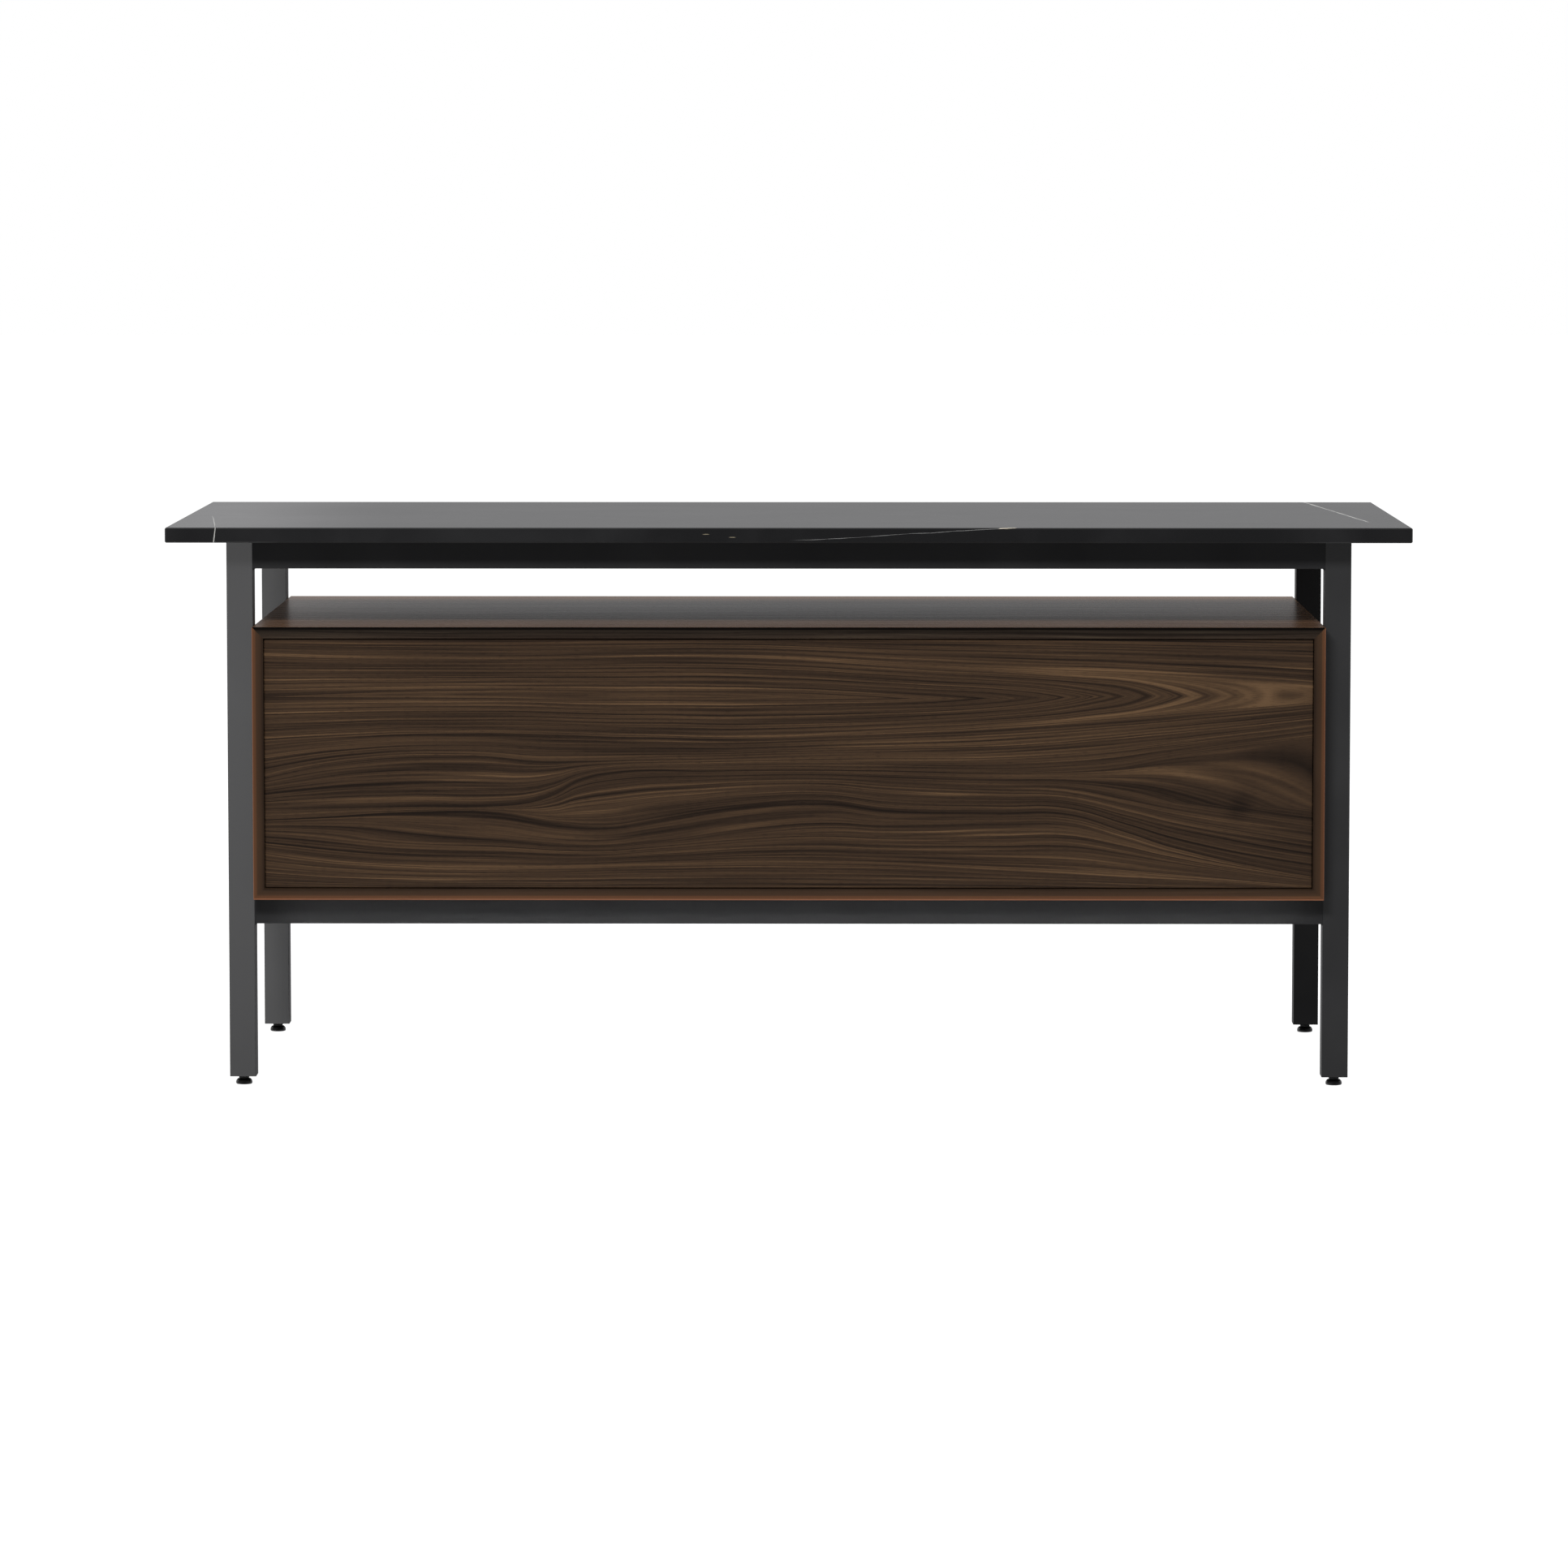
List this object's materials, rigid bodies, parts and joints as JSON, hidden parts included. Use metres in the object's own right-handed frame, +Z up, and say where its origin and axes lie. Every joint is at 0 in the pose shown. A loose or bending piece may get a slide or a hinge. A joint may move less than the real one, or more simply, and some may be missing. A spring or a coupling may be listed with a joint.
{
  "type": "writing desk with drawers",
  "caption": "Writing desk: black marble slab on a black square-tube frame, with a walnut case closed towards the visitor and drawers and a kneehole towards the user.",
  "frame": {"origin": "on the floor, under the centre of the slab", "axes": "+Z up; +X along the desk's length, to the right as the visitor sees it; -Y faces the visitor and the closing panel, +Y faces the user and the drawers"},
  "size_m": [1.65, 0.7, 0.75],
  "materials": {
    "black_marble": "polished",
    "pad_rubber": "matte",
    "frame_black_coat": "satin",
    "bolt_black_steel": "satin",
    "plug_nylon": "matte",
    "foot_nylon": "gloss",
    "walnut_veneer": "satin",
    "drawer_oak": "satin",
    "drawer_bottom_birch": "satin",
    "dowel_beech": "matte",
    "runner_zinc": "satin",
    "screw_zinc": "satin",
    "pull_black_coat": "satin"
  },
  "bodies": {
    "desk": {"cabinet_runners": "runner_zinc", "case_bottom": "walnut_veneer", "case_dowels": "dowel_beech", "case_screws": "screw_zinc", "case_side_left": "walnut_veneer", "case_side_right": "walnut_veneer", "case_top": "walnut_veneer", "closing_panel": "walnut_veneer", "frame_bolts": "bolt_black_steel", "knee_rail_left": "frame_black_coat", "knee_rail_right": "frame_black_coat", "leg_plugs": "plug_nylon", "leg_user_left": "frame_black_coat", "leg_user_right": "frame_black_coat", "leg_visitor_left": "frame_black_coat", "leg_visitor_right": "frame_black_coat", "lower_rail_left": "frame_black_coat", "lower_rail_right": "frame_black_coat", "lower_rail_visitor": "frame_black_coat", "lower_rails_user": "frame_black_coat", "marble_top": "black_marble", "partition_left": "walnut_veneer", "partition_right": "walnut_veneer", "top_pads": "pad_rubber", "upper_rail_left": "frame_black_coat", "upper_rail_right": "frame_black_coat", "upper_rail_user": "frame_black_coat", "upper_rail_visitor": "frame_black_coat"},
    "drawer_lower_left": {"drawer_lower_left_back": "drawer_oak", "drawer_lower_left_bottom": "drawer_bottom_birch", "drawer_lower_left_front": "walnut_veneer", "drawer_lower_left_pull": "pull_black_coat", "drawer_lower_left_runners": "runner_zinc", "drawer_lower_left_sides": "drawer_oak"},
    "middle_runners_lower_left": {"middle_runners_lower_left": "runner_zinc"},
    "drawer_upper_left": {"drawer_upper_left_back": "drawer_oak", "drawer_upper_left_bottom": "drawer_bottom_birch", "drawer_upper_left_front": "walnut_veneer", "drawer_upper_left_pull": "pull_black_coat", "drawer_upper_left_runners": "runner_zinc", "drawer_upper_left_sides": "drawer_oak"},
    "middle_runners_upper_left": {"middle_runners_upper_left": "runner_zinc"},
    "drawer_lower_right": {"drawer_lower_right_back": "drawer_oak", "drawer_lower_right_bottom": "drawer_bottom_birch", "drawer_lower_right_front": "walnut_veneer", "drawer_lower_right_pull": "pull_black_coat", "drawer_lower_right_runners": "runner_zinc", "drawer_lower_right_sides": "drawer_oak"},
    "middle_runners_lower_right": {"middle_runners_lower_right": "runner_zinc"},
    "drawer_upper_right": {"drawer_upper_right_back": "drawer_oak", "drawer_upper_right_bottom": "drawer_bottom_birch", "drawer_upper_right_front": "walnut_veneer", "drawer_upper_right_pull": "pull_black_coat", "drawer_upper_right_runners": "runner_zinc", "drawer_upper_right_sides": "drawer_oak"},
    "middle_runners_upper_right": {"middle_runners_upper_right": "runner_zinc"},
    "foot_visitor_left": {"levelling_foot_visitor_left": "foot_nylon"},
    "foot_user_left": {"levelling_foot_user_left": "foot_nylon"},
    "foot_visitor_right": {"levelling_foot_visitor_right": "foot_nylon"},
    "foot_user_right": {"levelling_foot_user_right": "foot_nylon"}
  },
  "joints": [
    {"name": "drawer_lower_left_slide", "type": "slide", "parent": "desk", "child": "drawer_lower_left", "axis": [0, 1, 0], "range_m": [0, 0.55]},
    {"name": "middle_runners_lower_left_slide", "type": "slide", "parent": "desk", "child": "middle_runners_lower_left", "axis": [0, 1, 0], "range_m": [0, 0.275]},
    {"name": "drawer_upper_left_slide", "type": "slide", "parent": "desk", "child": "drawer_upper_left", "axis": [0, 1, 0], "range_m": [0, 0.55]},
    {"name": "middle_runners_upper_left_slide", "type": "slide", "parent": "desk", "child": "middle_runners_upper_left", "axis": [0, 1, 0], "range_m": [0, 0.275]},
    {"name": "drawer_lower_right_slide", "type": "slide", "parent": "desk", "child": "drawer_lower_right", "axis": [0, 1, 0], "range_m": [0, 0.55]},
    {"name": "middle_runners_lower_right_slide", "type": "slide", "parent": "desk", "child": "middle_runners_lower_right", "axis": [0, 1, 0], "range_m": [0, 0.275]},
    {"name": "drawer_upper_right_slide", "type": "slide", "parent": "desk", "child": "drawer_upper_right", "axis": [0, 1, 0], "range_m": [0, 0.55]},
    {"name": "middle_runners_upper_right_slide", "type": "slide", "parent": "desk", "child": "middle_runners_upper_right", "axis": [0, 1, 0], "range_m": [0, 0.275]},
    {"name": "foot_visitor_left_screw", "type": "slide", "parent": "desk", "child": "foot_visitor_left", "axis": [0, 0, -1], "range_m": [0, 0.012]},
    {"name": "foot_user_left_screw", "type": "slide", "parent": "desk", "child": "foot_user_left", "axis": [0, 0, -1], "range_m": [0, 0.012]},
    {"name": "foot_visitor_right_screw", "type": "slide", "parent": "desk", "child": "foot_visitor_right", "axis": [0, 0, -1], "range_m": [0, 0.012]},
    {"name": "foot_user_right_screw", "type": "slide", "parent": "desk", "child": "foot_user_right", "axis": [0, 0, -1], "range_m": [0, 0.012]}
  ],
  "couplings": [
    {"joint": "middle_runners_lower_left_slide", "follows": "drawer_lower_left_slide", "ratio": 0.5},
    {"joint": "middle_runners_upper_left_slide", "follows": "drawer_upper_left_slide", "ratio": 0.5},
    {"joint": "middle_runners_lower_right_slide", "follows": "drawer_lower_right_slide", "ratio": 0.5},
    {"joint": "middle_runners_upper_right_slide", "follows": "drawer_upper_right_slide", "ratio": 0.5}
  ]
}
